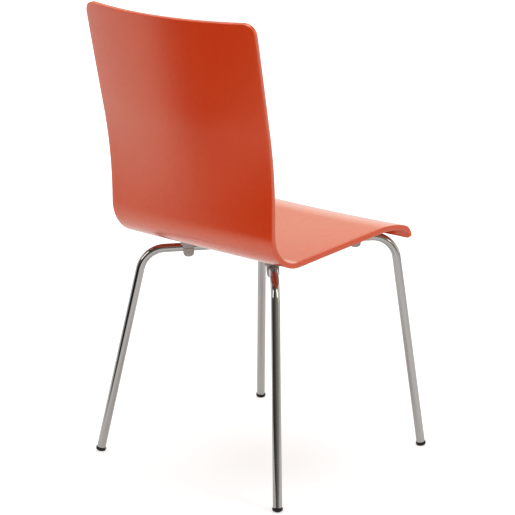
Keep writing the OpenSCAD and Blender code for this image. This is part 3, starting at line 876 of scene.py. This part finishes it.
def screw_tree():
    """Puts a screw at each point of a mesh, turned as the point's own turn says."""
    tree, given = new_shape_tree("four_screws", {"Stations": "Geometry", "Screw": "Object",
                                                 "Size": "Float", "Finish": "Material"}, "Screws")
    one = add_node(tree, "GeometryNodeObjectInfo", {"Object": given["Screw"]})
    turn = add_node(tree, "GeometryNodeInputNamedAttribute", {"Name": "turn"},
                    data_type="FLOAT_VECTOR")
    to_turn = add_node(tree, "FunctionNodeEulerToRotation", {"Euler": turn.outputs["Attribute"]})
    screwed = add_node(tree, "GeometryNodeInstanceOnPoints",
                       {"Points": given["Stations"], "Instance": one.outputs["Geometry"],
                        "Rotation": to_turn.outputs["Rotation"], "Scale": given["Size"]})
    end_shape_tree(tree, screwed.outputs["Instances"], given["Finish"], "Screws")
    return tree


ZINC = metal_finish("zinc_plate", colour=(0.58, 0.58, 0.55), patch=400, fleck=5000, tone=0.12,
                    gloss=0.34, spread=0.12, height=0.00001)
BRASS = metal_finish("turned_brass", colour=(0.62, 0.43, 0.16), patch=300, fleck=4000, tone=0.10,
                     gloss=0.36, spread=0.10, height=0.00001)
one_screw = in_scene("one_screw", screw_mesh())
seats = [station_frame(corner) @ Matrix.Translation((0, 0, -SCREW_SEAT))
         for corner in CORNERS.values()]
seat_points = bpy.data.meshes.new("screw_seats")
seat_points.from_pydata([seat.translation for seat in seats], [], [])
seat_turns = seat_points.attributes.new("turn", "FLOAT_VECTOR", "POINT")
seat_turns.data.foreach_set("vector", [angle for seat in seats for angle in seat.to_euler()])
screws_mesh = grown_mesh("button_head_screws", seat_points, screw_tree(),
                         {"Screw": one_screw, "Size": 1.0, "Finish": ZINC})
screws = as_piece("button_head_screws", screws_mesh, ZINC)
bpy.data.objects.remove(one_screw)
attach(screws, "root")
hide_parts("shell_screws")

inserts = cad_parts["threaded_inserts"]
inserts.data.materials.clear()
inserts.data.materials.append(BRASS)


# ---- Glides ----
# A black moulded foot in the end of each leg. Its ribbed plug is pushed up the tube, and its
# bowl is cut off level, so that it stands flat on the floor under the sloping leg.

SOLE_R, GLIDE_R, RIM_LOW, RIM_EDGE = 0.0045, 0.0094, 0.0042, 0.0007
SOLE_MIDDLE = 0.3
PLUG_R, PLUG_H, PLUG_TAPER = 0.0056, 0.020, 0.0012
RIBS, RIB_R, RIB_H = 4, 0.0064, 0.0016
GLIDE_SIDES, BOWL_STEPS, RIM_STEPS = 56, 8, 4
BLACK_MOULDING = moulded_finish("black_moulding", ior=1.36, colour=(0.006, 0.0052, 0.005),
                                patch=150, fleck=3000, tone=0.25, gloss=0.42, spread=0.16,
                                height=0.00004)


def glide_profile():
    """Radius and height of each ring of a glide, from below its sole to the plug's end."""
    profile = [(SOLE_R * SOLE_MIDDLE, -SOLE_R), (SOLE_R, -SOLE_R), (SOLE_R, 0)]
    for k in range(1, BOWL_STEPS + 1):
        angle = math.radians(90 * k / BOWL_STEPS)
        profile.append((SOLE_R + (GLIDE_R - SOLE_R) * math.sin(angle),
                        RIM_LOW * (1 - math.cos(angle))))
    profile.append((GLIDE_R, GLIDE_H - RIM_EDGE))
    for k in range(1, RIM_STEPS + 1):
        angle = math.radians(90 * k / RIM_STEPS)
        profile.append((GLIDE_R - RIM_EDGE * (1 - math.cos(angle)),
                        GLIDE_H - RIM_EDGE * (1 - math.sin(angle))))
    profile.append((PLUG_R, GLIDE_H))
    for rib in range(1, RIBS + 1):
        low = GLIDE_H + PLUG_H * rib / (RIBS + 1)
        profile += [(PLUG_R, low), (RIB_R, low), (RIB_R, low + RIB_H), (PLUG_R, low + RIB_H)]
    profile += [(PLUG_R, GLIDE_H + PLUG_H - PLUG_TAPER), (PLUG_R - PLUG_TAPER, GLIDE_H + PLUG_H)]
    return profile


def glide_mesh(name, corner):
    mesh = lofted(name, [round_ring(r, h, GLIDE_SIDES) for r, h in glide_profile()])
    upright = leg_way(corner).to_track_quat("Z", "Y").to_matrix().to_4x4()
    mesh.transform(Matrix.Translation(foot(corner)) @ upright)
    cut = bmesh.new()
    cut.from_mesh(mesh)
    bmesh.ops.bisect_plane(cut, geom=cut.verts[:] + cut.edges[:] + cut.faces[:],
                           plane_co=(0, 0, 0), plane_no=(0, 0, -1), clear_outer=True)
    bmesh.ops.holes_fill(cut, edges=[edge for edge in cut.edges if edge.is_boundary])
    bmesh.ops.recalc_face_normals(cut, faces=cut.faces)
    cut.to_mesh(mesh)
    cut.free()
    shade_to(mesh, 40)
    return mesh


for place, corner in CORNERS.items():
    glide_name = f"black_glide_{place}"
    glide = as_piece(glide_name, glide_mesh(glide_name, corner), BLACK_MOULDING)
    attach(glide, "root")
    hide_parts(f"glide_{place}")


# ---- Stage ----
# A plain floor, which is white to the camera but for a faint shadow. Reflections show it pale,
# dark only towards the camera and left of it. Its far part glows and lights the chair from below.

TO_CAMERA, TO_CAMERA_LEFT = (-0.673, 0.739, 0), (0.739, 0.673, 0)
FLOOR_HALF = 20
FLOOR_COLOUR, FLOOR_LIGHT = (0.62, 0.605, 0.57, 1), (0.95, 0.975, 1, 1)
BARE_SHADE, SHEET_GLOW = 0.04, 0.22


def measure_along(tree, place, way):
    """How far a place or a direction reaches along a way."""
    node = add_node(tree, "ShaderNodeVectorMath", {0: place, 1: way}, operation="DOT_PRODUCT")
    return node.outputs["Value"]


def soft_step(tree, value, low, high, at_low, at_high):
    """A level that eases from one number to another as a value goes from low to high."""
    node = add_node(tree, "ShaderNodeMapRange",
                    {"Value": value, "From Min": low, "From Max": high, "To Min": at_low,
                     "To Max": at_high}, interpolation_type="SMOOTHSTEP")
    return node.outputs["Result"]


def pale_floor():
    finish, tree, shader = new_finish("pale_floor")
    place = tree.nodes.new("ShaderNodeTexCoord").outputs["Object"]
    ray = tree.nodes.new("ShaderNodeLightPath").outputs
    near_camera = measure_along(tree, place, TO_CAMERA)
    camera_left = measure_along(tree, place, TO_CAMERA_LEFT)
    from_middle = add_node(tree, "ShaderNodeVectorMath", {0: place}, operation="LENGTH")
    far_sheet = soft_step(tree, near_camera, low=-0.15, high=0.4, at_low=1.0, at_high=0.0)
    right_sheet = soft_step(tree, camera_left, low=0.5, high=1.35, at_low=1.0, at_high=0.0)
    sheet = maths(tree, "MAXIMUM", far_sheet, right_sheet)
    pale = maths(tree, "MAXIMUM", sheet, ray["Is Camera Ray"])
    shade = maths(tree, "MAXIMUM", pale, BARE_SHADE)
    far_glow = soft_step(tree, near_camera, low=-1.8, high=-0.4, at_low=0.5, at_high=0.0)
    glow = maths(tree, "MAXIMUM", maths(tree, "MULTIPLY", pale, SHEET_GLOW), far_glow)
    whiter = soft_step(tree, from_middle.outputs["Value"], low=0.8, high=4.0, at_low=0.3,
                       at_high=0.8)
    bounce = soft_step(tree, near_camera, low=-0.5, high=0.1, at_low=0.6, at_high=0.0)
    seen = maths(tree, "MULTIPLY_ADD", ray["Is Camera Ray"], whiter, glow)
    fill(tree, shader, {
        "Base Color": mixed(tree, 1, FLOOR_COLOUR, shade, blend_type="MULTIPLY"),
        "Emission Strength": maths(tree, "MULTIPLY_ADD", ray["Is Diffuse Ray"], bounce, seen),
        "Emission Color": FLOOR_LIGHT, "Roughness": 0.9, "Specular IOR Level": 0.0})
    return finish


floor_mesh = bpy.data.meshes.new("floor")
floor_mesh.from_pydata([(x * FLOOR_HALF, y * FLOOR_HALF, 0)
                        for x, y in ((-1, -1), (1, -1), (1, 1), (-1, 1))], [], [(0, 1, 2, 3)])
floor = as_piece("floor", floor_mesh, pale_floor())


# ---- Lamps and room ----
# Soft light from large lamps. The room is plain white to the eye. In reflections it is dim on
# the camera's side, and bright and a little warm on the far side, fading out overhead.

TO_DIM_SIDE = (-0.457, 0.890, 0)
WARM_LOW, WARM_HIGH, WHITE = (1, 0.96, 0.86, 1), (1, 0.94, 0.74, 1), (1, 1, 1, 1)
ROOM_LIGHT, ROOM_SEEN = 0.55, 0.45


def soft_lamp(name, place, target, size, watts):
    lamp = bpy.data.lights.new(name, "AREA")
    lamp.shape = "RECTANGLE"
    lamp.size, lamp.size_y = size
    lamp.energy = watts
    holder = in_scene(name, lamp)
    holder.location = place
    holder.rotation_euler = (Vector(target) - Vector(place)).to_track_quat("-Z", "Y").to_euler()
    return holder


soft_lamp("overhead_lamp", (0.3, -0.3, 3.2), target=(0, 0, 0.3), size=(2.6, 2.6), watts=66)
soft_lamp("left_lamp", (1.0, 2.62, 1.8), target=(0, 0, 0.5), size=(0.8, 1.3), watts=11)
soft_lamp("right_lamp", (-2.4, -0.3, 2.0), target=(0, 0, 0.5), size=(0.8, 1.4), watts=14)
fill_lamp = soft_lamp("fill_lamp", (-1.6, 3.6, 0.95), target=(0, 0, 0.5), size=(2.0, 1.2), watts=35)
fill_lamp.visible_glossy = False


def lit_room():
    room = bpy.data.worlds.new("studio")
    room.use_nodes = True
    tree = room.node_tree
    way = tree.nodes.new("ShaderNodeTexCoord").outputs["Generated"]
    ray = tree.nodes.new("ShaderNodeLightPath").outputs
    upward = measure_along(tree, way, (0, 0, 1))
    to_left = measure_along(tree, way, TO_CAMERA_LEFT)
    to_dim = measure_along(tree, way, TO_DIM_SIDE)
    dim = soft_step(tree, to_left, low=-1.0, high=0.6, at_low=0.44, at_high=0.09)
    far_side = soft_step(tree, to_dim, low=-0.05, high=0.3, at_low=1.0, at_high=0.0)
    far_level = soft_step(tree, upward, low=0.28, high=0.64, at_low=1.17, at_high=0.07)
    mirrored = maths(tree, "MAXIMUM", dim, maths(tree, "MULTIPLY", far_side, far_level))
    plain = maths(tree, "MULTIPLY_ADD", ray["Is Camera Ray"], ROOM_SEEN, ROOM_LIGHT)
    warmth = soft_step(tree, upward, low=0.12, high=0.36, at_low=0, at_high=1)
    warm = mixed(tree, warmth, WARM_LOW, WARM_HIGH)
    fill(tree, tree.nodes["Background"], {
        "Strength": mixed(tree, ray["Is Glossy Ray"], plain, mirrored, data_type="FLOAT"),
        "Color": mixed(tree, ray["Is Glossy Ray"], WHITE, warm)})
    return room


bpy.context.scene.world = lit_room()


# ---- Camera ----
# It stands behind the chair on the sitter's right, half a metre above the top of the back, and
# looks down at the seat with a long lens.

CAMERA_PLACE, CAMERA_TARGET = Vector((-2.449, 2.682, 1.3855)), Vector((0.018, -0.026, 0.3675))
camera_data = bpy.data.cameras.new("camera")
camera_data.sensor_width = 36
camera_data.lens = 145.406
camera_data.clip_end = 60
camera = in_scene("camera", camera_data)
camera.location = CAMERA_PLACE
camera.rotation_euler = (CAMERA_TARGET - CAMERA_PLACE).to_track_quat("-Z", "Y").to_euler()
bpy.context.scene.camera = camera
bpy.context.scene.view_settings.view_transform = "Standard"
